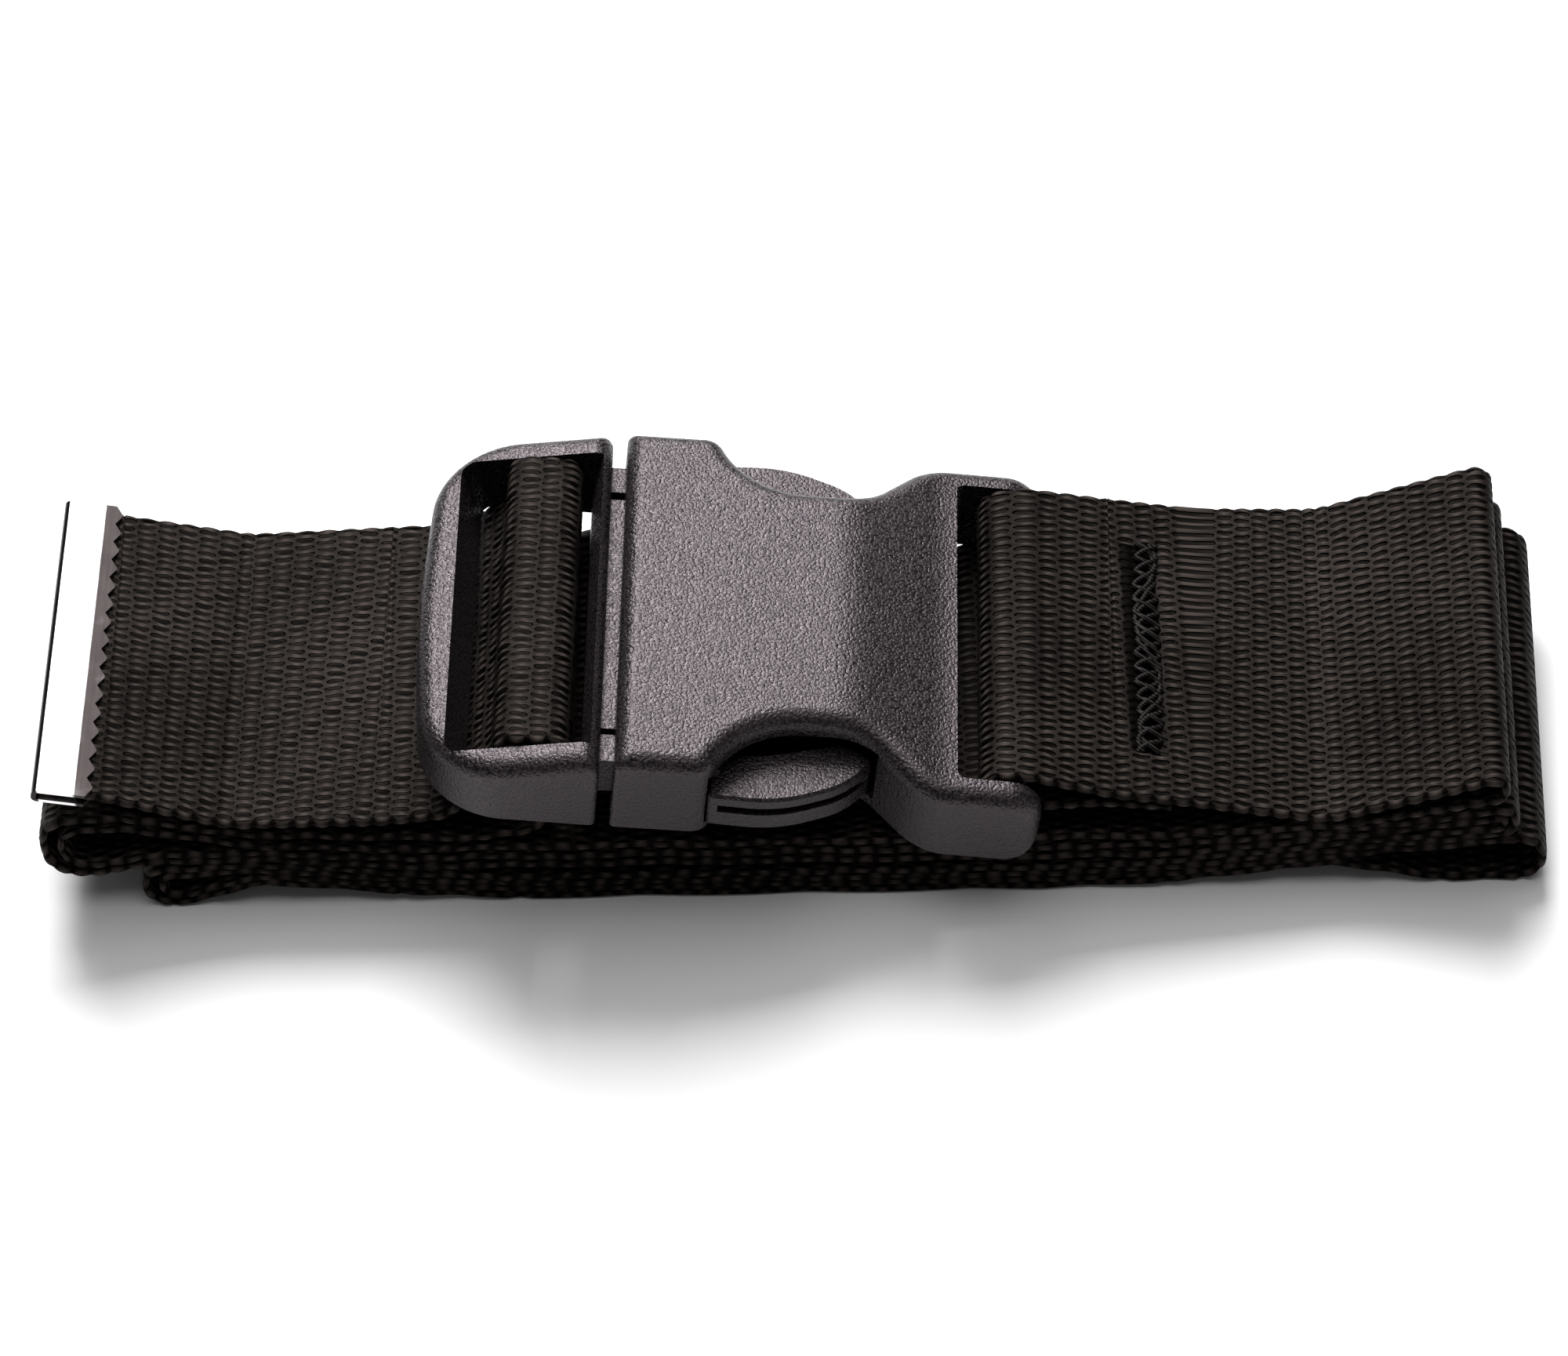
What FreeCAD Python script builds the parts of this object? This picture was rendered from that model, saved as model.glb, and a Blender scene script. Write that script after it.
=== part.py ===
# Luggage strap: 50 mm webbing folded flat in a zigzag, closed by a side-release buckle.
# Millimetres, +Z up. The strap lies along X, its width is along Y, and it rests on Z = 0.

import FreeCAD, Part
import math
import os

Vec = FreeCAD.Vector

# ---------------------------------------------------------------- driving dimensions

web_width = 50.0
web_thick = 1.1
web_gap = 0.1            # air between the webbing and the bar that it wraps

twist_start = 36.0
twist_length = 64.0
twist_lift = 7.0         # how far the far edge of the right end is lifted

centre_shift = -1.5      # brings the middle of the folded length to X = 0

buckle_x = -22.0         # the split between the two buckle halves
buckle_z = 22.0          # underside of the buckle at the split
buckle_pitch = 7.5       # the female end hangs lower, degrees
buckle_half = 29.2       # half width over the cheeks and the ladder
split = (-2.0, -0.1)     # facing ends of the ladder half and of the socket
edge_round = 2.4

# ladder half, along the buckle from the split (negative is the ladder side)
ladder_end = -27.3
ladder_bow = 1.8
ladder_corner = 12.0
ladder_split_w = (-0.5, 13.1)
ladder_end_w = (0.0, 7.2)
slot_half = 25.3
outer_slot = (-22.5, -15.0)
end_bar_w = 8.0          # height of the end bar, whose inner side slopes
end_bar_slope = 0.36
inner_slot = (-7.0, -4.4)
inner_slot_top = -2.9    # the bar beside the split slopes the other way
inner_slope_w = 6.5
centre_bar_w = (2.6, 10.3)

# tongue and prongs
tongue_half = 20.0
tongue_guide_half = 11.4
tongue_length = 33.0
tongue_w = (3.2, 8.8)
prong_pivot = (3.2, 23.4)
prong_root_r = 1.7
prong_w = (2.6, 9.0)
prong_tab_w = (0.9, 7.1)
prong_clear = 0.3

# socket half
socket_w = (-0.5, 13.4)
cheek_length = 12.3
waist_half = 20.2
plate_end = 45.5
plate_end_w = (-2.5, 10.1)
horn_end = 57.2
horn_end_w = (-2.9, 9.5)
horn_half = 29.0
horn_inner = 25.6
cavity_w = (0.6, 10.0)
cavity_half = 26.2
cavity_end = 36.0
socket_bar_u = 52.5
socket_bar_w = 6.0
socket_bar_r = 2.6

# strap-end clip
clip_length = 7.0
clip_sheet = 0.5
clip_width = 51.0
clip_teeth = 16
tooth_depth = 0.9

# bar tack
tack_x = 50.0
tack_span = 36.0
tack_rows = 18
thread_r = 0.3

# ---------------------------------------------------------------- small helpers


def buckle_point(u, w):
    """Strap coordinates (x, z) of a point of the buckle's own length u and height w."""
    a = math.radians(buckle_pitch)
    x = buckle_x + u * math.cos(a) + w * math.sin(a)
    z = buckle_z - u * math.sin(a) + w * math.cos(a)
    return x, z


def place_buckle(shape):
    """Move a shape from the buckle's own frame (u, v, w) to the strap's frame."""
    placed = shape.copy()
    placed.Placement = FreeCAD.Placement(
        Vec(buckle_x, 0, buckle_z), FreeCAD.Rotation(Vec(0, 1, 0), buckle_pitch))
    return placed


def corner_arcs(corners):
    """Round every corner (a, b, radius) and return the start, middle and end of each arc."""
    arcs = []
    count = len(corners)
    for i in range(count):
        a, b, radius = corners[i]
        here = Vec(a, b, 0)
        if radius == 0:
            arcs.append((here, here, here, None, 0))
            continue
        before = corners[i - 1]
        after = corners[(i + 1) % count]
        d_in = (here - Vec(before[0], before[1], 0)).normalize()
        d_out = (Vec(after[0], after[1], 0) - here).normalize()
        side = 1 if d_in.cross(d_out).z > 0 else -1
        turn = d_in.getAngle(d_out)
        reach = radius * math.tan(turn / 2)
        start = here - d_in * reach
        end = here + d_out * reach
        centre = start + Vec(-d_in.y, d_in.x, 0) * radius * side
        middle = centre + (here - centre).normalize() * radius
        arcs.append((start, middle, end, centre, side))
    return arcs


def outline(corners, height, base=0.0):
    """Prism of a closed outline with rounded corners, drawn in XY."""
    arcs = corner_arcs(corners)
    edges = []
    for i in range(len(arcs)):
        start, middle, end, centre, side = arcs[i]
        following = arcs[(i + 1) % len(arcs)][0]
        if (end - start).Length > 1e-6:
            edges.append(Part.Arc(start, middle, end).toShape())
        if (following - end).Length > 1e-6:
            edges.append(Part.LineSegment(end, following).toShape())
    face = Part.Face(Part.Wire(edges))
    solid = face.extrude(Vec(0, 0, height))
    solid.translate(Vec(0, 0, base))
    return solid


def side_outline(corners):
    """Prism of a closed side outline (u, w, radius), 80 mm wide across the buckle."""
    solid = outline(corners, 80, -40)
    solid.rotate(Vec(0, 0, 0), Vec(1, 0, 0), 90)
    return solid


def box(x0, x1, y0, y1, z0, z1):
    return Part.makeBox(x1 - x0, y1 - y0, z1 - z0, Vec(x0, y0, z0))


def mirrored(shape):
    """The same shape on the other side of the centre plane Y = 0."""
    return shape.mirror(Vec(0, 0, 0), Vec(0, 1, 0))


# ---------------------------------------------------------------- webbing


def far_lift(x):
    """The folded right end is twisted: its far edge stands this much higher."""
    t = min(max((x - twist_start) / twist_length, 0.0), 1.0)
    return twist_lift * t * t * (3 - 2 * t)


def strap_route():
    """The ribbon's centre line seen from the side: corners (x, z, bend radius)."""
    wrap = web_gap + web_thick / 2
    bar_x, bar_z = buckle_point(socket_bar_u, socket_bar_w)
    bar_wrap = socket_bar_r + wrap
    over = centre_bar_w[1] + wrap
    right_face = inner_slot[0] + wrap
    left_face = outer_slot[1] - wrap
    route = [
        # sewn end, under the socket's bar and back over it
        (52.6, 17.1, 0), (43.5, 18.4, 25), (37.0, bar_z - bar_wrap, 12),
        (bar_x - bar_wrap, bar_z - bar_wrap, bar_wrap - 0.1),
        (bar_x - bar_wrap, bar_z + bar_wrap, bar_wrap - 0.1),
        # level 1, down to the right-hand pinch and into the top fold
        (bar_x + 2.5, bar_z + bar_wrap - 0.15, 8), (45, 19.9, 25), (57, 17.4, 30),
        (73.5, 13.5, 10), (97.15, 21.7, 1.9), (97.15, 17.2, 1.9),
        # level 2, to the inner left fold
        (74.5, 12.2, 15), (52, 11.0, 40), (-52, 11.2, 40), (-71, 12.5, 12),
        (-88.5, 17.0, 8), (-97.3, 16.2, 3.2), (-97.3, 9.2, 3.2), (-92, 9.2, 6),
        # level 3, to the outer middle fold on the right
        (-85, 11.0, 10), (-71, 11.0, 20), (-52, 9.2, 40), (52, 9.0, 40), (74, 10.9, 20),
        (98.65, 15.15, 2.3), (98.65, 9.95, 2.3),
        # level 6, to the inner fold at the bottom left
        (74, 7.06, 15), (52, 3.95, 30), (36, 3.15, 30), (-36, 3.15, 30), (-52, 4.5, 30),
        (-71, 7.22, 12), (-84.6, 6.2, 1.8), (-84.6, 2.0, 1.8),
        # level 7, to the bottom right fold
        (-81.5, 2.0, 4), (-71, 5.96, 7), (-52, 3.2, 30), (-36, 1.85, 30), (36, 1.85, 30),
        (52, 2.6, 25), (74, 5.78, 20), (102.55, 8.9, 3.7), (102.55, 0.55, 3.7),
        # level 8, the strand that lies on the ground, to the outer fold at the bottom left
        (89, 0.55, 12), (74, 4.5, 8), (52, 1.25, 25), (36, 0.55, 40), (-36, 0.55, 40),
        (-52, 1.9, 40), (-71, 4.7, 7), (-81.3, 0.55, 6), (-86.95, 0.55, 3.3),
        (-86.95, 7.3, 3.0),
        # level 5, to the inner middle fold on the right
        (-78, 8.0, 10), (-71, 8.48, 15), (-52, 5.8, 30), (-36, 4.45, 30), (36, 4.45, 30),
        (52, 5.3, 30), (74, 8.34, 15), (97.2, 11.1, 0.95), (97.2, 13.3, 0.95),
        # level 4, to the outer left fold
        (74, 9.62, 15), (52, 6.9, 40), (-52, 7.4, 40), (-71, 9.74, 15), (-85, 9.5, 10),
        (-93, 7.4, 8), (-99.55, 7.6, 4.4), (-99.55, 18.4, 4.4),
        # level 1 on the left, then up through the ladder and over its centre bar
        (-88.5, 19.2, 9), (-72, 15.0, 12), (-58, 14.2, 40), (-41, 13.4, 12),
        (-32.0, 15.2, 5), buckle_point(right_face, 0.5) + (6,),
        buckle_point(right_face, over) + (2.6,), buckle_point(left_face, over) + (2.6,),
        # down through the outer slot, and the free tail
        buckle_point(left_face, 2.5) + (6,), (-44.5, 18.3, 5), (-54, 17.2, 30),
        (-74, 17.2, 8), (-91.5, 24.2, 25), (-98.4, 25.8, 0)]
    return route


def ribbon_edges(corners, y, lift):
    """Both faces of the ribbon and its two ends, as edges in the plane at Y = y."""
    raised = [(x, z + lift(x), radius) for x, z, radius in corners]
    arcs = corner_arcs(raised)
    half = web_thick / 2

    def point(p):
        return Vec(p.x, y, p.y)

    sides = []
    for hand in (1, -1):
        edges = []
        for i in range(len(arcs) - 1):
            start, middle, end, centre, side = arcs[i]
            following = arcs[i + 1][0]
            along = (following - end).normalize()
            offset = Vec(-along.y, along.x, 0) * half * hand
            if centre is not None:
                ring = [centre + (p - centre) * (1 - side * hand * half / (p - centre).Length)
                        for p in (start, middle, end)]
                edges.append(Part.Arc(*[point(p) for p in ring]).toShape())
            edges.append(Part.LineSegment(point(end + offset), point(following + offset)).toShape())
        sides.append(edges)
    start_cap = Part.LineSegment(sides[0][0].Vertexes[0].Point, sides[1][0].Vertexes[0].Point).toShape()
    end_cap = Part.LineSegment(sides[0][-1].Vertexes[-1].Point, sides[1][-1].Vertexes[-1].Point).toShape()
    return sides[0] + [end_cap] + sides[1] + [start_cap]


def strip_face(near, far):
    """The face between an edge and its far partner, a plane wherever the ribbon isn't twisted."""
    a, b = [v.Point for v in near.Vertexes]
    d, c = [v.Point for v in far.Vertexes]
    straight = near.Curve.TypeId == "Part::GeomLine" and far.Curve.TypeId == "Part::GeomLine"
    if straight and abs((b - a).cross(d - a).normalize().dot(c - a)) < 1e-7:
        return Part.Face(Part.makePolygon([a, b, c, d, a]))
    return Part.makeRuledSurface(near, far)


def make_webbing():
    near = ribbon_edges(strap_route(), -web_width / 2, lambda x: 0.0)
    far = ribbon_edges(strap_route(), web_width / 2, far_lift)
    faces = [strip_face(a, b) for a, b in zip(near, far)]
    for ring in (near, far):
        faces.append(Part.Face(Part.Wire(Part.__sortEdges__(ring))))
    shell = Part.makeShell(faces)
    shell.sewShape()
    solid = Part.Solid(shell)
    if solid.Volume < 0:
        solid.reverse()
    return solid


# ---------------------------------------------------------------- ladder half with its tongue


def make_male_frame():
    face = split[0]
    bow = ladder_end + ladder_bow
    plan = outline([(face, -buckle_half, 0.8), (face, buckle_half, 0.8),
                    (bow, buckle_half, ladder_corner), (ladder_end - 0.1, 0, 150),
                    (bow, -buckle_half, ladder_corner)], 24, -6)
    side = side_outline([(face + 1, ladder_split_w[0], 0), (face + 1, ladder_split_w[1], 0),
                         (ladder_end - 1, ladder_end_w[1], 0), (ladder_end - 1, ladder_end_w[0], 0)])
    frame = plan.common(side)
    rim = [e for e in frame.Edges if e.BoundBox.ZMin > 0.1 and e.BoundBox.ZMax > 5
           and e.BoundBox.XMin < face - 1.25]
    frame = frame.makeFillet(edge_round, rim)
    above = outer_slot[0] - end_bar_slope * (14 - end_bar_w)
    below = outer_slot[0] + end_bar_slope * (end_bar_w + 3)
    opening = side_outline([(above, 14, 0), (below, -3, 0), (inner_slot[1], -3, 0),
                            (inner_slot[1], inner_slope_w, 0), (inner_slot_top, 14, 0)])
    opening = opening.common(box(-40, 0, -slot_half, slot_half, -10, 20))
    sloped = [e for e in opening.Edges if abs(e.tangentAt(0).y) < 0.01 and e.BoundBox.XMax < -17
              and e.BoundBox.ZLength > 5]
    frame = frame.cut(opening.makeFillet(2.0, sloped))
    bar = box(inner_slot[0] - 8.0, inner_slot[0], -slot_half - 1, slot_half + 1, *centre_bar_w)
    long_edges = [e for e in bar.Edges if abs(e.tangentAt(0).y) > 0.99]
    bar = bar.makeFillet(1.9, long_edges)
    frame = frame.fuse(bar)
    neck = box(face - 1, 3.0, -tongue_half, tongue_half, *tongue_w)
    guide = outline([(2.0, -tongue_guide_half, 0.5), (tongue_length, -tongue_guide_half, 2),
                     (tongue_length, tongue_guide_half, 2), (2.0, tongue_guide_half, 0.5)],
                    tongue_w[1] - tongue_w[0], tongue_w[0])
    frame = frame.fuse([neck, guide])
    u, v = prong_pivot
    reach = prong_root_r + prong_clear
    for hand in (1, -1):
        stub = box(face - 1, u, hand * v - 2.2, hand * v + 2.2, *prong_w)
        bore = Part.makeCylinder(reach, 20, Vec(u, hand * v, -2))
        frame = frame.fuse(stub.cut(bore))
    return place_buckle(frame.removeSplitter())


def make_prong(hand):
    """One latch arm: a root that pivots in the stub, an arm, and a grooved release tab."""
    u, v = prong_pivot
    low, high = prong_w
    root = Part.makeCylinder(prong_root_r, high - low, Vec(u, v, low))
    arm = outline([(u, v - 1.5, 0.2), (u, v + 1.5, 0.2), (14.0, 26.2, 0.2), (14.0, 22.6, 0.2)],
                  high - low, low)
    tab_low, tab_high = prong_tab_w
    tab = outline([(12.6, 21.6, 0.6), (12.6, 29.0, 0.9), (22.0, 29.5, 20), (31.5, 25.7, 12),
                   (34.6, 21.3, 1.0), (31.0, 18.6, 1.5), (20.0, 21.4, 10)],
                  tab_high - tab_low, tab_low)
    crown = [e for e in tab.Edges if e.BoundBox.ZMin > tab_high - 0.01 or e.BoundBox.ZMax < tab_low + 0.01]
    tab = tab.makeChamfer(0.4, crown)
    groove = outline([(14.0, 27.4, 0.4), (22.0, 27.9, 18), (31.5, 23.9, 10), (35.5, 21.2, 0.4),
                      (40, 24, 0.4), (30, 34, 0.4), (14.0, 34, 0.4)], 1.4, 3.9)
    prong = root.fuse([arm, tab]).cut(groove)
    prong = prong.removeSplitter()
    if hand < 0:
        prong = mirrored(prong)
    return place_buckle(prong)


# ---------------------------------------------------------------- socket half


def make_female_body():
    face = split[1]
    half = [(face, buckle_half, 0.8), (cheek_length, buckle_half, 3.0), (17.0, waist_half, 13),
            (32.4, waist_half, 9), (41.2, horn_half - 0.1, 9), (horn_end, horn_half, 2.6)]
    other_half = [(u, -v, r) for u, v, r in reversed(half)]
    plan = outline(half + other_half, 24, -6)
    low, high = zip(socket_w, plate_end_w, horn_end_w)
    side = side_outline([(face - 1, low[0], 0), (31, low[0], 20), (plate_end - 2, low[1], 20),
                         (horn_end, low[2], 5), (horn_end, high[2], 5), (plate_end - 2, high[1], 16),
                         (31, high[0], 20), (face - 1, high[0], 0)])
    body = plan.common(side)
    top = [e for e in body.Edges if e.BoundBox.XMax > face + 0.85 and e.BoundBox.ZMin > 8
           and abs(e.tangentAt(e.FirstParameter).y) < 0.999 and e.BoundBox.XMax < horn_end - 2]
    body = body.makeFillet(edge_round, top)
    rear = outline([(plate_end, -horn_inner, 1.2), (horn_end + 20, -horn_inner, 1.2),
                    (horn_end + 20, horn_inner, 1.2), (plate_end, horn_inner, 1.2)], 40, -12)
    cavity = outline([(-2, -cavity_half, 0.2), (14, -cavity_half, 1), (17, -tongue_half - 2.6, 4),
                      (cavity_end, -15, 2), (cavity_end, 15, 2), (17, tongue_half + 2.6, 4),
                      (14, cavity_half, 1), (-2, cavity_half, 0.2)],
                     cavity_w[1] - cavity_w[0], cavity_w[0])
    body = body.cut(rear).cut(cavity)
    for v0, v1 in ((14.0, 40.0), (-40.0, -14.0)):
        window = box(cheek_length + 0.1, cavity_end - 1.0, v0, v1, *cavity_w)
        body = body.cut(window)
    bar = Part.makeCylinder(socket_bar_r, 2 * horn_inner + 2,
                            Vec(socket_bar_u, -horn_inner - 1, socket_bar_w), Vec(0, 1, 0))
    return place_buckle(body.fuse(bar).removeSplitter())


# ---------------------------------------------------------------- strap-end clip


def make_clip():
    """U-shaped sheet folded over the end of the tail, with a serrated edge on both leaves."""
    inner = web_thick / 2 + 0.12
    outer = inner + clip_sheet
    shell = box(-clip_length, 1.0, -clip_width / 2, clip_width / 2, -outer, outer)
    back = [e for e in shell.Edges if abs(e.tangentAt(0).y) > 0.99 and e.BoundBox.XMin > 0.9]
    shell = shell.makeFillet(outer - 0.25, back)
    hollow = box(-clip_length - 1, 0.3, -clip_width, clip_width, -inner, inner)
    clip = shell.cut(hollow)
    pitch = clip_width / clip_teeth
    for i in range(clip_teeth + 1):
        y = -clip_width / 2 + i * pitch
        notch = Part.Face(Part.makePolygon([
            Vec(-clip_length - 0.1, y - pitch / 2, -5), Vec(-clip_length + tooth_depth, y, -5),
            Vec(-clip_length - 0.1, y + pitch / 2, -5), Vec(-clip_length - 0.1, y - pitch / 2, -5)]))
        clip = clip.cut(notch.extrude(Vec(0, 0, 10)))
    # The clip is drawn with its closed end at +X; the tail points towards -X and upwards.
    before, end = strap_route()[-2:]
    slope = math.degrees(math.atan2(end[1] - before[1], before[0] - end[0]))
    clip.rotate(Vec(0, 0, 0), Vec(0, 0, 1), 180)
    clip.rotate(Vec(0, 0, 0), Vec(0, 1, 0), slope)
    clip.translate(Vec(end[0], 0, end[1]))
    return clip


# ---------------------------------------------------------------- bar tack


def tack_height(x, y):
    """Top of the upper strand at the bar tack."""
    a, b = strap_route()[6:8]
    t = (x - a[0]) / (b[0] - a[0])
    share = (y + web_width / 2) / web_width
    return a[1] + t * (b[1] - a[1]) + web_thick / 2 + far_lift(x) * share


def make_tack(offset):
    """Zigzag thread, lying at the given height above the top of the upper strand."""
    pitch = tack_span / tack_rows
    corners = []
    for i in range(tack_rows + 1):
        x = tack_x + (1.4 if i % 2 else -1.4)
        y = -tack_span / 2 + i * pitch
        corners.append(Vec(x, y, tack_height(x, y) + offset))
    rods = []
    for a, b in zip(corners, corners[1:]):
        rods.append(Part.makeCylinder(thread_r, (b - a).Length, a, b - a))
        rods.append(Part.makeSphere(thread_r, b))
    return Part.makeSphere(thread_r, corners[0]).fuse(rods)


# ---------------------------------------------------------------- the assembly

os.makedirs("parts", exist_ok=True)
two_strands = 2 * web_thick + 0.4
nodes = {
    "webbing": make_webbing(),
    "female_body": make_female_body(),
    "male_frame": make_male_frame(),
    "prong_near": make_prong(-1),
    "prong_far": make_prong(1),
    "strap_end_clip": make_clip(),
    "bar_tack_top_thread": make_tack(thread_r + 0.2),
    "bar_tack_bobbin_thread": make_tack(-two_strands - thread_r),
}
for name, shape in nodes.items():
    shape.translate(Vec(centre_shift, 0, 0))
    print(name, shape.isValid(), len(shape.Solids), round(shape.Volume, 1))
    shape.exportStep("parts/%s.step" % name)
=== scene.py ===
"""Folded luggage strap: woven webbing, side-release buckle, metal strap end and bar tack."""
import math

import bpy
import numpy as np
from mathutils import Matrix, Vector


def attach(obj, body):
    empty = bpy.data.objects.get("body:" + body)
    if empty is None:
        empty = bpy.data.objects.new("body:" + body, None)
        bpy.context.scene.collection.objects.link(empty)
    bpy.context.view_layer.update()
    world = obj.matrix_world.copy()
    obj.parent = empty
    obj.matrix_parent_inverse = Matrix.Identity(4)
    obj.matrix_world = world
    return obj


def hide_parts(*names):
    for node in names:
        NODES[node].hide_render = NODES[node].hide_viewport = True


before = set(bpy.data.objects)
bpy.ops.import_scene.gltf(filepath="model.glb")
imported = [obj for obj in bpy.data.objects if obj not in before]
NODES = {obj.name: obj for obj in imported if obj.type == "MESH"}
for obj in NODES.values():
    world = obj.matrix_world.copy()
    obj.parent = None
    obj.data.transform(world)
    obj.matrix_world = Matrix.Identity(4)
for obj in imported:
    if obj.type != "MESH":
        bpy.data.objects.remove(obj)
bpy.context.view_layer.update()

MM = 0.001

# ------------------------------------------------------------------ dimensions, in millimetres

WEB_WIDTH = 50.0
WEB_THICK = 1.1
WEB_GAP = 0.1
TWIST_START, TWIST_LENGTH, TWIST_LIFT = 36.0, 64.0, 7.0
CENTRE_SHIFT = -1.5
BUCKLE_X, BUCKLE_Z, BUCKLE_PITCH = -22.0, 22.0, 7.5

# weave: rows of strands across the width, split by short dark grooves in staggered columns
# (the mesh and the material use the same pattern)
# the material darkens these grooves in its colour with painted shade
ROW = WEB_WIDTH / 39      # distance from one strand to the next
COLUMN = 2.68             # distance from one column of grooves to the next, along the strap
GROOVE_LENGTH = 1.22      # half the length of a groove
GROOVE_WIDTH = 0.37       # half its width
RELIEF = 0.26             # depth of a groove under the strands beside it
SELVEDGE = 0.36           # how far the weft loops stand out at the edges
LOOP_WIDTH = 1.1          # width of the plain band of weft loops along each edge
BEAD_LENGTH = 0.6         # half the length of the raised bead between two grooves
# uneven weave: how far it wanders, and how fast along and across the strap
SWAY = (0.11, 0.83, 0.9)
RIPPLE = (0.07, 2.1, 0.4)
DRIFT = (0.13, 0.3, 1.7)

# mesh: sampling step of the hidden stretches, and how many columns of quads make one of theirs
COARSE_STEP = 2.4
COARSE_STRIDE = 4

# bar tack across the sewn end, and where the upper sewn strand lies, in arc length
TACK_X, TACK_SPAN, TACK_HALF = 50.0, 34.5, 1.25
TACK_THREAD = 0.40        # radius of a thread
TACK_DEPTH = 0.4          # how deep the tack is pulled into the webbing
UPPER_START, UPPER_END = 25.0, 70.0


# ------------------------------------------------------------------ ribbon path


def buckle_point(u, w):
    """Point (x, z) of the strap's frame from the buckle's own length and height."""
    a = math.radians(BUCKLE_PITCH)
    return (BUCKLE_X + u * math.cos(a) + w * math.sin(a),
            BUCKLE_Z - u * math.sin(a) + w * math.cos(a))


def strap_route():
    """Corners (x, z, bend radius) of the ribbon's centre line, the same as in the CAD."""
    wrap = WEB_GAP + WEB_THICK / 2
    bar_x, bar_z = buckle_point(52.5, 6.0)
    bar_wrap = 2.6 + wrap
    over = 10.3 + wrap
    right_face = -7.0 + wrap
    left_face = -15.0 - wrap
    return [
        (52.6, 17.1, 0), (43.5, 18.4, 25), (37.0, bar_z - bar_wrap, 12),
        (bar_x - bar_wrap, bar_z - bar_wrap, bar_wrap - 0.1),
        (bar_x - bar_wrap, bar_z + bar_wrap, bar_wrap - 0.1),
        (bar_x + 2.5, bar_z + bar_wrap - 0.15, 8), (45, 19.9, 25), (57, 17.4, 30),
        (73.5, 13.5, 10), (97.15, 21.7, 1.9), (97.15, 17.2, 1.9),
        (74.5, 12.2, 15), (52, 11.0, 40), (-52, 11.2, 40), (-71, 12.5, 12),
        (-88.5, 17.0, 8), (-97.3, 16.2, 3.2), (-97.3, 9.2, 3.2), (-92, 9.2, 6),
        (-85, 11.0, 10), (-71, 11.0, 20), (-52, 9.2, 40), (52, 9.0, 40), (74, 10.9, 20),
        (98.65, 15.15, 2.3), (98.65, 9.95, 2.3),
        (74, 7.06, 15), (52, 3.95, 30), (36, 3.15, 30), (-36, 3.15, 30), (-52, 4.5, 30),
        (-71, 7.22, 12), (-84.6, 6.2, 1.8), (-84.6, 2.0, 1.8),
        (-81.5, 2.0, 4), (-71, 5.96, 7), (-52, 3.2, 30), (-36, 1.85, 30), (36, 1.85, 30),
        (52, 2.6, 25), (74, 5.78, 20), (102.55, 8.9, 3.7), (102.55, 0.55, 3.7),
        (89, 0.55, 12), (74, 4.5, 8), (52, 1.25, 25), (36, 0.55, 40), (-36, 0.55, 40),
        (-52, 1.9, 40), (-71, 4.7, 7), (-81.3, 0.55, 6), (-86.95, 0.55, 3.3),
        (-86.95, 7.3, 3.0),
        (-78, 8.0, 10), (-71, 8.48, 15), (-52, 5.8, 30), (-36, 4.45, 30), (36, 4.45, 30),
        (52, 5.3, 30), (74, 8.34, 15), (97.2, 11.1, 0.95), (97.2, 13.3, 0.95),
        (74, 9.62, 15), (52, 6.9, 40), (-52, 7.4, 40), (-71, 9.74, 15), (-85, 9.5, 10),
        (-93, 7.4, 8), (-99.55, 7.6, 4.4), (-99.55, 18.4, 4.4),
        (-88.5, 19.2, 9), (-72, 15.0, 12), (-58, 14.2, 40), (-41, 13.4, 12),
        (-32.0, 15.2, 5), buckle_point(right_face, 0.5) + (6,),
        buckle_point(right_face, over) + (2.6,), buckle_point(left_face, over) + (2.6,),
        buckle_point(left_face, 2.5) + (6,), (-44.5, 18.3, 5), (-54, 17.2, 30),
        (-74, 17.2, 8), (-91.5, 24.2, 25), (-98.4, 25.8, 0)]


def far_lift(x):
    """How much higher the far edge of the twisted right end stands."""
    t = min(max((x - TWIST_START) / TWIST_LENGTH, 0.0), 1.0)
    return TWIST_LIFT * t * t * (3 - 2 * t)


def runs_of(corners):
    """The path as pieces: ("line", start, end) and ("arc", centre, radius, angle, sweep)."""
    points = [np.array(c[:2], float) for c in corners]
    pieces = []
    last = points[0]
    for i in range(1, len(points) - 1):
        d_in = points[i] - points[i - 1]
        d_out = points[i + 1] - points[i]
        d_in /= np.linalg.norm(d_in)
        d_out /= np.linalg.norm(d_out)
        turn = math.atan2(d_in[0] * d_out[1] - d_in[1] * d_out[0], float(d_in @ d_out))
        radius = corners[i][2]
        start = points[i] - d_in * radius * math.tan(abs(turn) / 2)
        side = 1 if turn > 0 else -1
        centre = start + np.array([-d_in[1], d_in[0]]) * radius * side
        spoke = start - centre
        pieces.append(("line", last, start))
        pieces.append(("arc", centre, radius, math.atan2(spoke[1], spoke[0]), turn))
        last = points[i] + d_out * radius * math.tan(abs(turn) / 2)
    pieces.append(("line", last, points[-1]))
    return pieces


def run_length(piece):
    if piece[0] == "line":
        return float(np.linalg.norm(piece[2] - piece[1]))
    return abs(piece[4]) * piece[2]


def run_point(piece, share):
    if piece[0] == "line":
        return piece[1] + (piece[2] - piece[1]) * share
    angle = piece[3] + piece[4] * share
    return piece[1] + piece[2] * np.array([math.cos(angle), math.sin(angle)])


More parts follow.
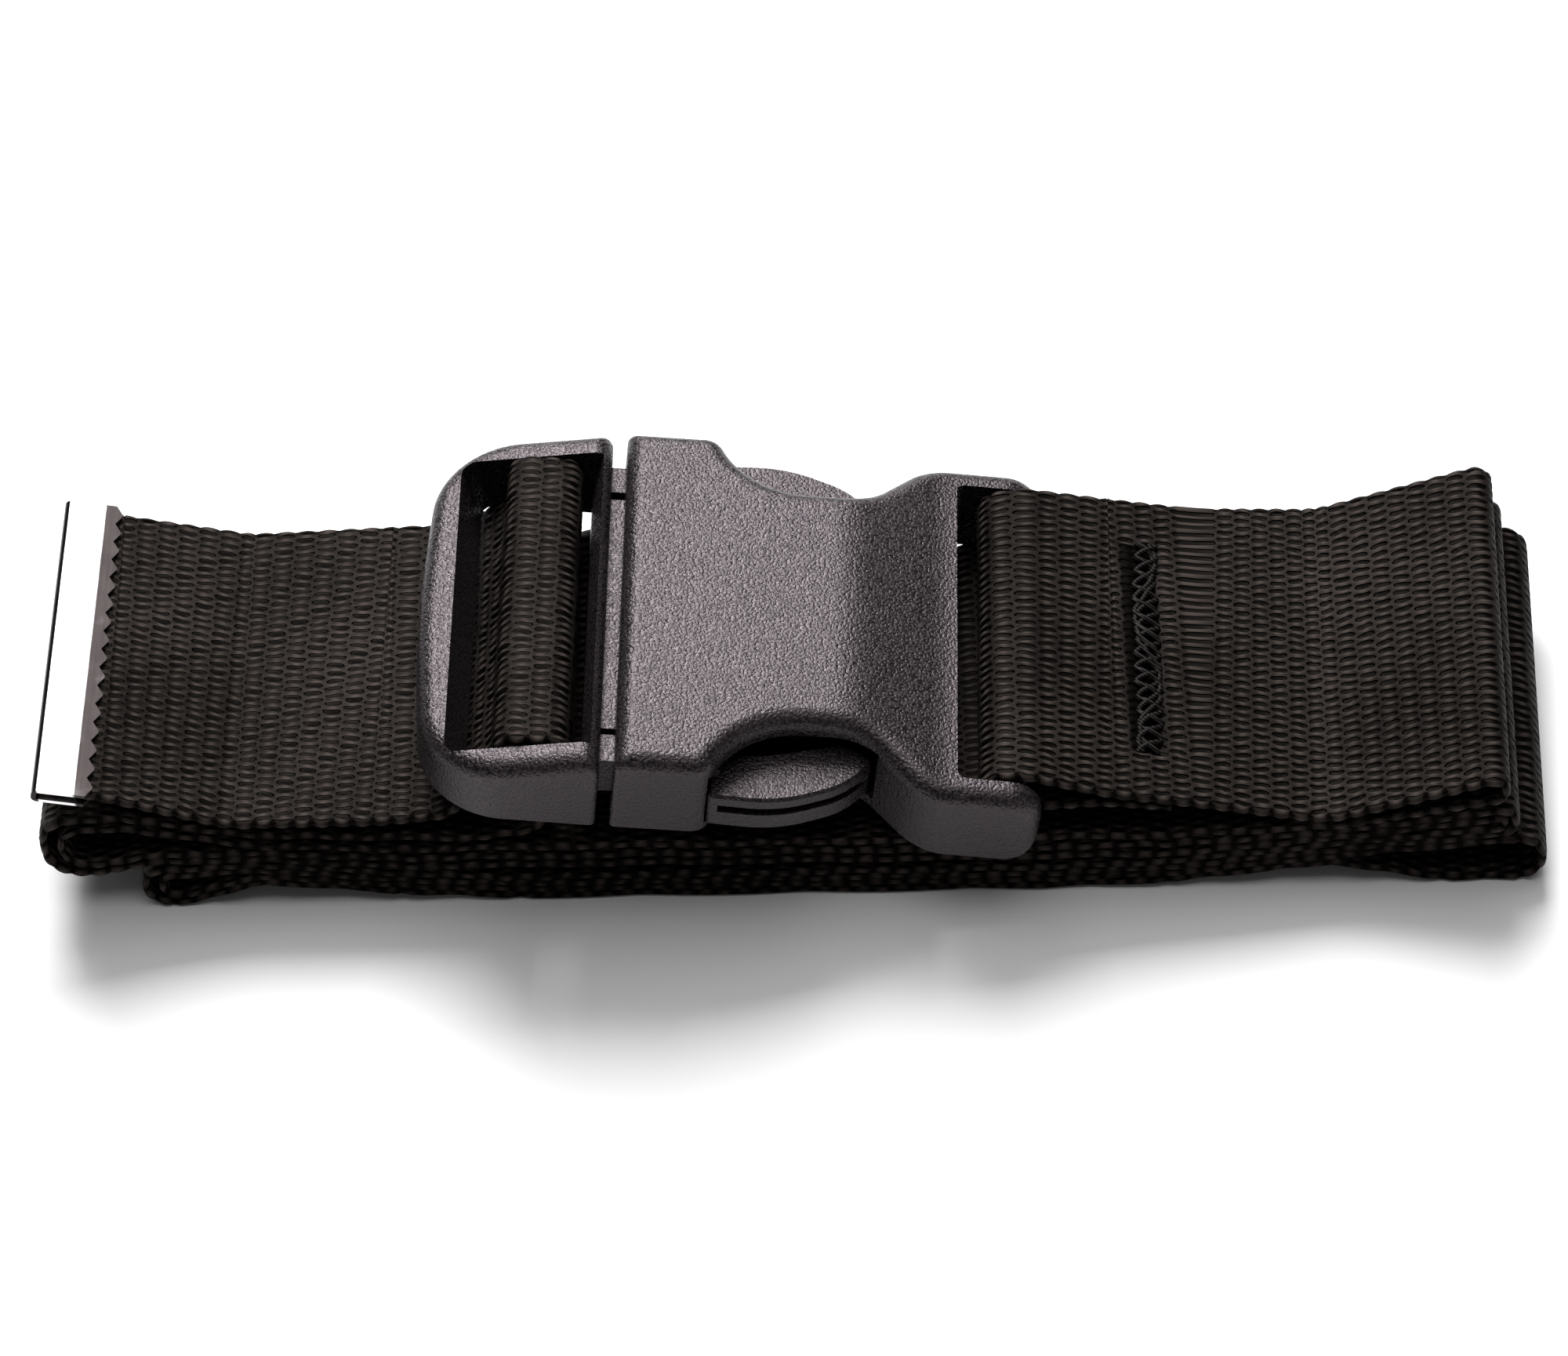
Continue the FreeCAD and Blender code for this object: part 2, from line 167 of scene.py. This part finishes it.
def far_route():
    """The far edge: twisted at the right end, and lifted where the ribbon leaves the buckle."""
    corners = [(x, z + far_lift(x), r) for x, z, r in strap_route()]
    lifts = {5: 1.4, 6: 2.7, 7: 1.3, 8: 1.9,
             -12: 1.5, -11: 3.0, -10: 3.5, -5: 2.4, -4: 3.2, -3: 2.4}
    for index, lift in lifts.items():
        x, z, r = corners[index]
        corners[index] = (x, z + lift, r)
    return corners


NEAR_RUNS = runs_of(strap_route())
FAR_RUNS = runs_of(far_route())


UNDER_BUCKLE = 24         # the run of the uppermost strand that passes below the buckle


def bow_lift(x):
    """How much the far edge of that strand bows up under the ladder and under the bar."""
    left = min(abs(x + 21.0) / 26.0, 1.0)
    right = min(abs(x - 27.0) / 8.0, 1.0)
    return 8.5 * math.cos(math.pi / 2 * left) ** 2 + 2.4 * math.cos(math.pi / 2 * right) ** 2


def in_view(piece):
    """True for the stretches whose weave can be seen: the top strands and the outer folds."""
    x, z = run_point(piece, 0.5)
    top_right = x > 26 and z > 12.8 + 0.10 * max(0.0, x - 74)
    tail = x < -36.5 and z > 16.6 and not (-101 < x < -71 and z < 19.9 and x < -74.5)
    ladder = -42 < x < -24 and z > 20
    ends = x > 96.5 or x < -96.5 or (x < -84.5 and z < 9)
    return top_right or tail or ladder or ends


def stations():
    """Where the ribbon is sampled: rows of (arc length, near point, far point, fine or coarse)."""
    rows = []
    travelled = 0.0
    for index, (near, far) in enumerate(zip(NEAR_RUNS, FAR_RUNS)):
        length = run_length(near)
        fine = in_view(near)
        step = COLUMN / 6 if fine else COARSE_STEP
        if near[0] == "arc":
            step = min(step, max(0.25, near[2] * 0.22))
        count = max(1, int(math.ceil(length / step)))
        for k in range(count):
            share = k / count
            far_point = run_point(far, share)
            if index == UNDER_BUCKLE:
                far_point = far_point + np.array([0.0, bow_lift(far_point[0])])
            rows.append((travelled + length * share, run_point(near, share), far_point, fine))
        travelled += length
    rows.append((travelled, run_point(NEAR_RUNS[-1], 1.0), run_point(FAR_RUNS[-1], 1.0), True))
    return rows


# ------------------------------------------------------------------ webbing mesh


def weave_height(s, y):
    """Relief of the woven face at arc length s and width y: 1 on the strands, 0 in the grooves."""
    edge = np.clip((np.abs(y) - WEB_WIDTH / 2 + LOOP_WIDTH) / 0.5, 0, 1)
    y = (y + SWAY[0] * np.sin(SWAY[1] * s + SWAY[2] * y)
         + RIPPLE[0] * np.sin(RIPPLE[1] * s - RIPPLE[2] * y))
    s = s + DRIFT[0] * np.sin(DRIFT[2] * y + DRIFT[1] * s)
    column = np.round(s / COLUMN)
    along = s - column * COLUMN
    odd = np.mod(column, 2)
    rows = y / ROW + 0.5 * odd
    groove = np.floor(rows)
    across = (rows - groove - 0.5) * ROW
    shallow = np.mod(groove + odd, 3) == 1
    shape = 1 - np.abs(along / GROOVE_LENGTH) ** 3 - (across / GROOVE_WIDTH) ** 2
    shape = np.clip(2.0 * shape, 0, 1)
    crest = np.cos(math.pi * across / ROW) ** 2
    bead_and_highlight = crest * np.exp(-(along / BEAD_LENGTH) ** 2)
    woven = 0.8 + 0.2 * bead_and_highlight - np.where(shallow, 0.45, 0.8) * shape
    looped = 0.8 - 0.4 * np.exp(-((np.abs(along) - COLUMN / 2) / 0.25) ** 2)
    return woven * (1 - edge) + looped * edge


def tack_press(s, x, y):
    """How much the bar tack pulls the upper sewn strand down, 0 to 1."""
    upper = (s > UPPER_START) & (s < UPPER_END)
    inside = np.clip((TACK_SPAN / 2 + 0.6 - np.abs(y)) / 1.2, 0, 1)
    return upper * inside * np.exp(-((x - TACK_X) / 1.9) ** 4)


def mesh_object(name, vertices, faces):
    """A smooth-shaded object, linked to the scene."""
    mesh = bpy.data.meshes.new(name)
    mesh.from_pydata(vertices, [], faces)
    mesh.validate()
    mesh.update()
    mesh.polygons.foreach_set("use_smooth", [True] * len(mesh.polygons))
    obj = bpy.data.objects.new(name, mesh)
    bpy.context.scene.collection.objects.link(obj)
    return obj


def build_webbing():
    """Vertices of both faces in metres, with the arc length and fineness of each row."""
    rows = stations()
    s = np.array([r[0] for r in rows])
    near = np.array([r[1] for r in rows])
    far = np.array([r[2] for r in rows])
    fine = np.array([r[3] for r in rows])
    smooth_fine = np.convolve(np.pad(fine.astype(float), 4, mode="edge"), np.ones(9) / 9, "valid")
    columns = COARSE_STRIDE * round(WEB_WIDTH / ROW)
    half_width = WEB_WIDTH / 2
    y = np.linspace(-half_width, half_width, columns + 1)
    t = (y + half_width) / WEB_WIDTH
    # centre surface, (rows, columns, 3)
    flat = near[:, None, :] * (1 - t)[None, :, None] + far[:, None, :] * t[None, :, None]
    scallop = SELVEDGE * np.clip((np.abs(y) - 22.5) / 2.5, 0, 1) ** 2 * np.sign(y)
    wave = np.abs(np.cos(math.pi * s / COLUMN))
    centre = np.empty(flat.shape[:2] + (3,))
    centre[..., 0] = flat[..., 0]
    centre[..., 2] = flat[..., 1]
    centre[..., 1] = y[None, :] + scallop[None, :] * (wave[:, None] - 0.7)
    along = np.gradient(centre, axis=0)
    across = np.gradient(centre, axis=1)
    normal = np.cross(along, across)
    normal /= np.linalg.norm(normal, axis=2, keepdims=True) + 1e-12
    edge = np.clip((np.abs(y) - (half_width - 1.0)) / 1.0, 0, 1)
    half_thick = WEB_THICK / 2 * np.sqrt(np.clip(1 - edge ** 2, 0, 1))
    lift = weave_height(s[:, None], y[None, :]) - 0.7
    lift = lift * RELIEF * smooth_fine[:, None] * (1 - edge ** 2)[None, :]
    lift -= TACK_DEPTH * tack_press(s[:, None], flat[..., 0], y[None, :])
    under = weave_height(s[:, None] + COLUMN, y[None, :]) - 0.7
    under = under * RELIEF * smooth_fine[:, None] * (1 - edge ** 2)[None, :]
    upper = centre + normal * (half_thick[None, :] + lift)[..., None]
    lower = centre - normal * (half_thick[None, :] + under)[..., None]
    vertices = np.concatenate([upper.reshape(-1, 3), lower[:, 1:-1].reshape(-1, 3)])
    vertices[:, 0] += CENTRE_SHIFT
    return vertices * MM, fine, s, y


def webbing_faces(fine, columns):
    """Faces on both sides of the ribbon, with many-sided ones where fine and coarse rows meet."""
    count, width = len(fine), columns + 1
    dense = fine.copy()
    dense[1:] |= fine[:-1]

    def top(i, j):
        return i * width + j

    def bottom(i, j):
        if j in (0, columns):
            return top(i, j)
        return count * width + i * (width - 2) + j - 1

    faces = []
    for i in range(count - 1):
        stride = 1 if fine[i] else COARSE_STRIDE
        low_dense, high_dense = bool(dense[i]), bool(dense[i + 1] or fine[i + 1])
        for j in range(0, columns, stride):
            k = j + stride
            low = range(j, k + 1) if low_dense and stride > 1 else (j, k)
            high = range(k, j - 1, -1) if high_dense and stride > 1 else (k, j)
            faces.append([top(i, c) for c in low] + [top(i + 1, c) for c in high])
            faces.append([bottom(i + 1, c) for c in reversed(tuple(high))]
                         + [bottom(i, c) for c in reversed(tuple(low))])
    for i in (0, count - 1):
        ring = [top(i, j) for j in range(width)] + [bottom(i, j) for j in range(columns - 1, 0, -1)]
        faces.append(ring if i else ring[::-1])
    return faces


def webbing_object():
    """The whole ribbon as one closed mesh, fine where its weave is seen, coarse inside the stack."""
    vertices, fine, s, y = build_webbing()
    columns = len(y) - 1
    faces = webbing_faces(fine, columns)
    used = np.unique(np.concatenate([np.array(f) for f in faces]))
    order = np.full(len(vertices), -1)
    order[used] = np.arange(len(used))
    faces = [[int(order[v]) for v in reversed(f)] for f in faces]
    obj = mesh_object("webbing_woven", vertices[used].tolist(), faces)
    count, width = len(s), columns + 1
    grid_s = np.concatenate([np.repeat(s, width), np.repeat(s, width - 2)])[used]
    grid_y = np.concatenate([np.tile(y, count), np.tile(y[1:-1], count)])[used]
    layer = obj.data.uv_layers.new(name="strap")
    loops = np.empty(len(obj.data.loops), dtype=np.int32)
    obj.data.loops.foreach_get("vertex_index", loops)
    uv = np.stack([grid_s[loops] * 0.01, grid_y[loops] * 0.01], axis=1).astype(np.float32)
    layer.data.foreach_set("uv", uv.ravel())
    return obj, float(s[-1])


# ------------------------------------------------------------------ bar tack


def tack_object():
    """Three threads plaited over the sewn end in long slanting stitches."""
    rows = [r for r in stations() if UPPER_START < r[0] < UPPER_END]
    path_x = np.array([r[1][0] for r in rows])
    near_z = np.array([r[1][1] for r in rows])
    far_z = np.array([r[2][1] for r in rows])
    sides, steps = 8, 300
    vertices, faces = [], []
    for strand in range(3):
        y = np.linspace(-TACK_SPAN / 2, TACK_SPAN / 2, steps)
        phase = 2 * math.pi * (y / 6.3 + strand / 3) + 0.9 * np.sin(0.7 * y + 2 * strand)
        x = TACK_X + TACK_HALF * np.sin(phase) + 0.35 * np.sin(1.1 * y + 2.4 * strand)
        t = y / WEB_WIDTH + 0.5
        top = np.interp(x, path_x, near_z) * (1 - t) + np.interp(x, path_x, far_z) * t
        z = top + WEB_THICK / 2 - 0.05 + 0.22 * np.cos(2 * phase)
        line = np.stack([x + CENTRE_SHIFT, y, z], axis=1)
        ahead = np.gradient(line, axis=0)
        ahead /= np.linalg.norm(ahead, axis=1, keepdims=True)
        right = np.cross(ahead, [0.0, 0.0, 1.0])
        right /= np.linalg.norm(right, axis=1, keepdims=True)
        up = np.cross(right, ahead)
        first = len(vertices)
        for k in range(steps):
            for q in range(sides):
                a = 2 * math.pi * q / sides
                point = line[k] + TACK_THREAD * (right[k] * math.cos(a) + up[k] * math.sin(a))
                vertices.append((point * MM).tolist())
        for k in range(steps - 1):
            for q in range(sides):
                a, b = first + k * sides + q, first + k * sides + (q + 1) % sides
                faces.append((a, b, b + sides, a + sides))
        faces.append(tuple(first + q for q in reversed(range(sides))))
        faces.append(tuple(first + (steps - 1) * sides + q for q in range(sides)))
    return mesh_object("bar_tack_plait", vertices, faces)


# ------------------------------------------------------------------ materials


class Shader:
    """A small helper to write node trees in order."""

    def __init__(self, name):
        self.material = bpy.data.materials.new(name)
        self.material.use_nodes = True
        self.tree = self.material.node_tree
        self.tree.nodes.clear()
        self.bsdf = self.tree.nodes.new("ShaderNodeBsdfPrincipled")
        out = self.tree.nodes.new("ShaderNodeOutputMaterial")
        self.tree.links.new(self.bsdf.outputs[0], out.inputs["Surface"])

    def node(self, kind, inputs=None, **settings):
        n = self.tree.nodes.new(kind)
        for key, value in settings.items():
            setattr(n, key, value)
        for key, value in (inputs or {}).items():
            self.put(n.inputs[key], value)
        return n

    def put(self, socket, value):
        if isinstance(value, bpy.types.NodeSocket):
            self.tree.links.new(value, socket)
        else:
            socket.default_value = value

    def math(self, operation, a, b=0.0, c=0.0, clamp=False):
        n = self.node("ShaderNodeMath", {0: a, 1: b, 2: c}, operation=operation, use_clamp=clamp)
        return n.outputs[0]

    def noise(self, vector, scale, detail=3.0, rough=0.55):
        n = self.node("ShaderNodeTexNoise", {"Vector": vector, "Scale": scale, "Detail": detail,
                                             "Roughness": rough})
        return n.outputs["Fac"]

    def ramp(self, factor, stops):
        n = self.node("ShaderNodeValToRGB", {"Fac": factor})
        ramp = n.color_ramp
        while len(ramp.elements) < len(stops):
            ramp.elements.new(0.5)
        for element, (place, colour) in zip(ramp.elements, stops):
            element.position = place
            element.color = tuple(colour) + (1.0,)
        return n.outputs["Color"]

    def bump(self, height, strength, distance, normal=None):
        n = self.node("ShaderNodeBump", {"Height": height, "Strength": strength,
                                         "Distance": distance})
        if normal is not None:
            self.put(n.inputs["Normal"], normal)
        return n.outputs["Normal"]


def webbing_material(tack_at):
    """Woven webbing, with painted shade in the grooves, at the borders of the weft loops and along
    the bar tack, and a painted highlight on the raised strand beads; tack_at is the arc length where
    the bar tack crosses the upper strand.
    """
    m = Shader("woven_webbing")
    uv = m.node("ShaderNodeUVMap", uv_map="strap").outputs["UV"]
    split = m.node("ShaderNodeSeparateXYZ", {0: uv})
    along = m.math("MULTIPLY", split.outputs[0], 100.0)
    across = m.math("MULTIPLY", split.outputs[1], 100.0)
    edge = m.math("SUBTRACT", m.math("ABSOLUTE", across), WEB_WIDTH / 2 - LOOP_WIDTH)
    edge = m.math("MULTIPLY", edge, 2.0, clamp=True)
    sway = m.math("SINE", m.math("ADD", m.math("MULTIPLY", along, SWAY[1]),
                                 m.math("MULTIPLY", across, SWAY[2])))
    ripple = m.math("SINE", m.math("SUBTRACT", m.math("MULTIPLY", along, RIPPLE[1]),
                                   m.math("MULTIPLY", across, RIPPLE[2])))
    across = m.math("ADD", across, m.math("ADD", m.math("MULTIPLY", sway, SWAY[0]),
                                          m.math("MULTIPLY", ripple, RIPPLE[0])))
    drift = m.math("SINE", m.math("ADD", m.math("MULTIPLY", across, DRIFT[2]),
                                  m.math("MULTIPLY", along, DRIFT[1])))
    along = m.math("ADD", along, m.math("MULTIPLY", drift, DRIFT[0]))
    # the same grooves as in the mesh, darkened below in the colour as painted shade
    column = m.math("ROUND", m.math("DIVIDE", along, COLUMN))
    odd = m.math("FLOORED_MODULO", column, 2.0)
    apart = m.math("ABSOLUTE", m.math("SUBTRACT", along, m.math("MULTIPLY", column, COLUMN)))
    off = m.math("DIVIDE", apart, GROOVE_LENGTH)
    rows = m.math("ADD", m.math("DIVIDE", across, ROW), m.math("MULTIPLY", odd, 0.5))
    groove = m.math("FLOOR", rows)
    side = m.math("MULTIPLY", m.math("SUBTRACT", m.math("SUBTRACT", rows, groove), 0.5),
                  ROW / GROOVE_WIDTH)
    third = m.math("FLOORED_MODULO", m.math("ADD", groove, odd), 3.0)
    shallow = m.math("COMPARE", third, 1.0, 0.1)
    depth = m.math("SUBTRACT", 1.0, m.math("MULTIPLY", shallow, 0.5))
    shape = m.math("SUBTRACT", 1.0, m.math("POWER", off, 3.0))
    shape = m.math("SUBTRACT", shape, m.math("MULTIPLY", side, side))
    shape = m.math("MULTIPLY", m.math("MULTIPLY", shape, 2.0, clamp=True), depth)
    border = m.math("MULTIPLY", m.math("SUBTRACT", apart, COLUMN / 2), 1 / 0.3)
    border = m.math("EXPONENT", m.math("MULTIPLY", m.math("MULTIPLY", border, border), -1.0))
    looped = m.math("MULTIPLY", m.math("MULTIPLY", border, edge), 0.45)
    woven = m.math("MULTIPLY", shape, m.math("SUBTRACT", 1.0, edge))
    weave_relief_and_shade = m.math("SUBTRACT", 1.0, m.math("ADD", woven, looped))
    # painted highlight: the colour is lightened on the raised bead between two grooves, where a
    # strand crest catches the light
    bead_and_highlight = m.math("MULTIPLY", apart, 1 / BEAD_LENGTH)
    bead_and_highlight = m.math("EXPONENT", m.math("MULTIPLY", m.math("MULTIPLY", bead_and_highlight, bead_and_highlight), -1.0))
    bead_and_highlight = m.math("MULTIPLY", bead_and_highlight, m.math("MINIMUM", m.math("ABSOLUTE", side), 1.5))
    place = m.node("ShaderNodeTexCoord").outputs["Object"]
    fibre_map = m.node("ShaderNodeMapping", {"Vector": uv, "Scale": (90.0, 1100.0, 1.0)})
    fibre = m.noise(fibre_map.outputs[0], 1.0, 2.0, 0.6)
    cloud = m.noise(place, 45.0, 3.0, 0.5)
    # painted shade: the grooves and the borders of the weft loops are darkened in the colour, where
    # the webbing shades itself
    tone = m.math("ADD", m.math("MULTIPLY", weave_relief_and_shade, 0.62), m.math("MULTIPLY", fibre, 0.24))
    tone = m.math("ADD", tone, m.math("MULTIPLY", bead_and_highlight, 0.12))
    tone = m.math("ADD", tone, m.math("MULTIPLY", m.math("SUBTRACT", cloud, 0.5), 0.25))
    # painted shade: the colour is darkened in a band along the bar tack, across the sewn width
    tack = m.math("MULTIPLY", m.math("SUBTRACT", along, tack_at), 1 / 2.1)
    tack = m.math("POWER", m.math("ABSOLUTE", tack), 4.0)
    tack = m.math("EXPONENT", m.math("MULTIPLY", tack, -1.0))
    inside = m.math("LESS_THAN", m.math("ABSOLUTE", across), TACK_SPAN / 2)
    tone = m.math("SUBTRACT", tone, m.math("MULTIPLY", m.math("MULTIPLY", tack, inside), 0.5))
    colour = m.ramp(tone, [(0.44, (0.0001, 0.0001, 0.0001)), (0.70, (0.0018, 0.0015, 0.0014)),
                           (0.93, (0.046, 0.0375, 0.0340))])
    m.put(m.bsdf.inputs["Base Color"], colour)
    rough = m.math("ADD", 0.62, m.math("MULTIPLY", fibre, -0.18))
    m.put(m.bsdf.inputs["Roughness"], rough)
    m.bsdf.inputs["Specular IOR Level"].default_value = 0.05
    m.bsdf.inputs["Specular Tint"].default_value = (1.0, 0.82, 0.72, 1.0)
    coarse = m.bump(weave_relief_and_shade, 0.9, 0.0003)
    fine = m.bump(fibre, 0.35, 0.00006, coarse)
    m.put(m.bsdf.inputs["Normal"], fine)
    return m.material


def buckle_material():
    m = Shader("moulded_buckle_plastic")
    place = m.node("ShaderNodeTexCoord").outputs["Object"]
    grain = m.noise(place, 2600.0, 1.0, 0.5)
    patch = m.noise(place, 60.0, 3.0, 0.5)
    tone = m.math("ADD", m.math("MULTIPLY", grain, 0.75), m.math("MULTIPLY", patch, 0.25))
    colour = m.ramp(tone, [(0.35, (0.002, 0.0016, 0.0019)), (0.65, (0.020, 0.0165, 0.0185))])
    m.put(m.bsdf.inputs["Base Color"], colour)
    speck = m.math("MULTIPLY", m.math("SUBTRACT", grain, 0.35), 3.3, clamp=True)
    rough = m.math("ADD", 0.24, m.math("MULTIPLY", speck, 0.26))
    m.put(m.bsdf.inputs["Roughness"], rough)
    m.bsdf.inputs["Specular IOR Level"].default_value = 0.46
    m.bsdf.inputs["Specular Tint"].default_value = (1.0, 0.86, 0.92, 1.0)
    m.put(m.bsdf.inputs["Normal"], m.bump(grain, 1.0, 0.00016))
    return m.material


def clip_material(edge_x, tooth_x):
    """Bright sheet between the folded edge at edge_x and the crimped teeth at tooth_x, in metres,
    with a dark line of painted shade along the folded edge and a band of painted shade next to the
    teeth, where the metal is also rougher.
    """
    m = Shader("bright_nickel_sheet")
    place = m.node("ShaderNodeTexCoord").outputs["Object"]
    along = m.node("ShaderNodeSeparateXYZ", {0: place}).outputs[0]
    # painted shade: the colour is darkened in a band next to the crimped teeth, which is also made
    # rougher
    crimp_dull_and_shade = m.math("MULTIPLY", m.math("SUBTRACT", along, tooth_x - 0.0026), 1 / 0.0004, clamp=True)
    # painted shade: a dark line is painted along the folded edge of the sheet
    fold_line_shade = m.math("MULTIPLY", m.math("SUBTRACT", edge_x + 0.0011, along), 1 / 0.0003, clamp=True)
    brushed = m.node("ShaderNodeMapping", {"Vector": place, "Scale": (3000.0, 120.0, 3000.0)})
    lines = m.noise(brushed.outputs[0], 1.0, 3.0, 0.6)
    smudge = m.noise(place, 220.0, 3.0, 0.5)
    tone = m.math("SUBTRACT", m.math("ADD", 0.75, m.math("MULTIPLY", smudge, 0.2)),
                  m.math("MULTIPLY", crimp_dull_and_shade, 0.57))
    tone = m.math("SUBTRACT", tone, m.math("MULTIPLY", fold_line_shade, 0.8), clamp=True)
    colour = m.ramp(tone, [(0.0, (0.01, 0.01, 0.01)), (0.3, (0.05, 0.042, 0.042)),
                           (0.9, (0.88, 0.88, 0.88))])
    m.put(m.bsdf.inputs["Base Color"], colour)
    m.bsdf.inputs["Metallic"].default_value = 1.0
    rough = m.math("ADD", m.math("MULTIPLY", lines, 0.16), m.math("MULTIPLY", crimp_dull_and_shade, 0.3))
    m.put(m.bsdf.inputs["Roughness"], m.math("ADD", 0.22, rough))
    m.put(m.bsdf.inputs["Normal"], m.bump(lines, 0.15, 0.00002))
    return m.material


def thread_material():
    m = Shader("polyester_thread")
    place = m.node("ShaderNodeTexCoord").outputs["Object"]
    twist = m.node("ShaderNodeTexWave",
                   {"Vector": place, "Scale": 900.0, "Distortion": 1.0, "Detail": 1.0},
                   wave_type="BANDS", bands_direction="DIAGONAL")
    strands = twist.outputs["Fac"]
    colour = m.ramp(strands, [(0.2, (0.0015, 0.0012, 0.0012)), (0.8, (0.016, 0.0135, 0.0125))])
    m.bsdf.inputs["Specular IOR Level"].default_value = 0.08
    m.put(m.bsdf.inputs["Base Color"], colour)
    m.put(m.bsdf.inputs["Roughness"], m.math("ADD", 0.42, m.math("MULTIPLY", strands, 0.15)))
    m.put(m.bsdf.inputs["Normal"], m.bump(strands, 0.5, 0.00008))
    return m.material


def paint(obj, material):
    obj.data.materials.clear()
    obj.data.materials.append(material)


# ------------------------------------------------------------------ object

buckle_plastic = buckle_material()
thread = thread_material()
for node_name in ("female_body", "male_frame", "prong_near", "prong_far"):
    paint(NODES[node_name], buckle_plastic)
clip_x = [v.co.x for v in NODES["strap_end_clip"].data.vertices]
paint(NODES["strap_end_clip"], clip_material(min(clip_x), max(clip_x)))
for node_name in ("bar_tack_top_thread", "bar_tack_bobbin_thread"):
    paint(NODES[node_name], thread)

tack = tack_object()
paint(tack, thread)
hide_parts("bar_tack_top_thread")
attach(tack, "strap")

webbing, strap_length = webbing_object()
tack_at = next(r[0] for r in stations() if UPPER_START < r[0] < UPPER_END and r[1][0] > TACK_X)
paint(webbing, webbing_material(tack_at))
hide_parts("webbing")
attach(webbing, "strap")

# ------------------------------------------------------------------ floor, light and camera


def studio():
    bpy.ops.mesh.primitive_plane_add(size=6.0, location=(0, 0, 0))
    floor = bpy.context.object
    floor.name = "studio_floor"
    m = Shader("pale_floor")
    place = m.node("ShaderNodeTexCoord").outputs["Object"]
    colour = m.ramp(m.noise(place, 3.0), [(0.2, (0.90, 0.90, 0.90)), (0.8, (0.92, 0.92, 0.92))])
    m.put(m.bsdf.inputs["Base Color"], colour)
    m.bsdf.inputs["Roughness"].default_value = 0.8
    floor.data.materials.append(m.material)
    world = bpy.data.worlds.new("studio")
    bpy.context.scene.world = world
    world.use_nodes = True
    world.node_tree.nodes["Background"].inputs[0].default_value = (1, 1, 1, 1)
    world.node_tree.nodes["Background"].inputs[1].default_value = 0.10


def area_light(name, place, aim, size, power):
    data = bpy.data.lights.new(name, "AREA")
    data.shape = "SQUARE"
    data.size = size
    data.energy = power
    lamp = bpy.data.objects.new(name, data)
    bpy.context.scene.collection.objects.link(lamp)
    lamp.location = place
    lamp.rotation_euler = (Vector(aim) - Vector(place)).to_track_quat("-Z", "Y").to_euler()


def photo_camera():
    """Long lens, 51 degrees above the table, a little to the right of the middle."""
    data = bpy.data.cameras.new("photo_camera")
    data.sensor_width = 36.0
    data.lens = 138.23
    data.clip_end = 20.0
    camera = bpy.data.objects.new("photo_camera", data)
    bpy.context.scene.collection.objects.link(camera)
    turn, elevation, roll = math.radians(-4.702), math.radians(50.842), math.radians(4.866)
    forward = Vector((math.sin(turn) * math.cos(elevation), math.cos(turn) * math.cos(elevation),
                      -math.sin(elevation)))
    level_right = Vector((math.cos(turn), -math.sin(turn), 0))
    level_up = level_right.cross(forward)
    right = level_right * math.cos(roll) - level_up * math.sin(roll)
    up = level_up * math.cos(roll) + level_right * math.sin(roll)
    place = Vector((0.0415, -0.5176, 0.6538))
    camera.matrix_world = Matrix((
        (right.x, up.x, -forward.x, place.x), (right.y, up.y, -forward.y, place.y),
        (right.z, up.z, -forward.z, place.z), (0, 0, 0, 1)))
    bpy.context.scene.camera = camera


studio()
area_light("rear_softbox", (-0.12, 0.66, 0.80), (0, 0, 0), 0.62, 20.0)
area_light("overhead_softbox", (0.0, 0.0, 1.3), (0, 0, 0), 1.1, 7.0)
photo_camera()
bpy.context.scene.view_settings.view_transform = "Standard"
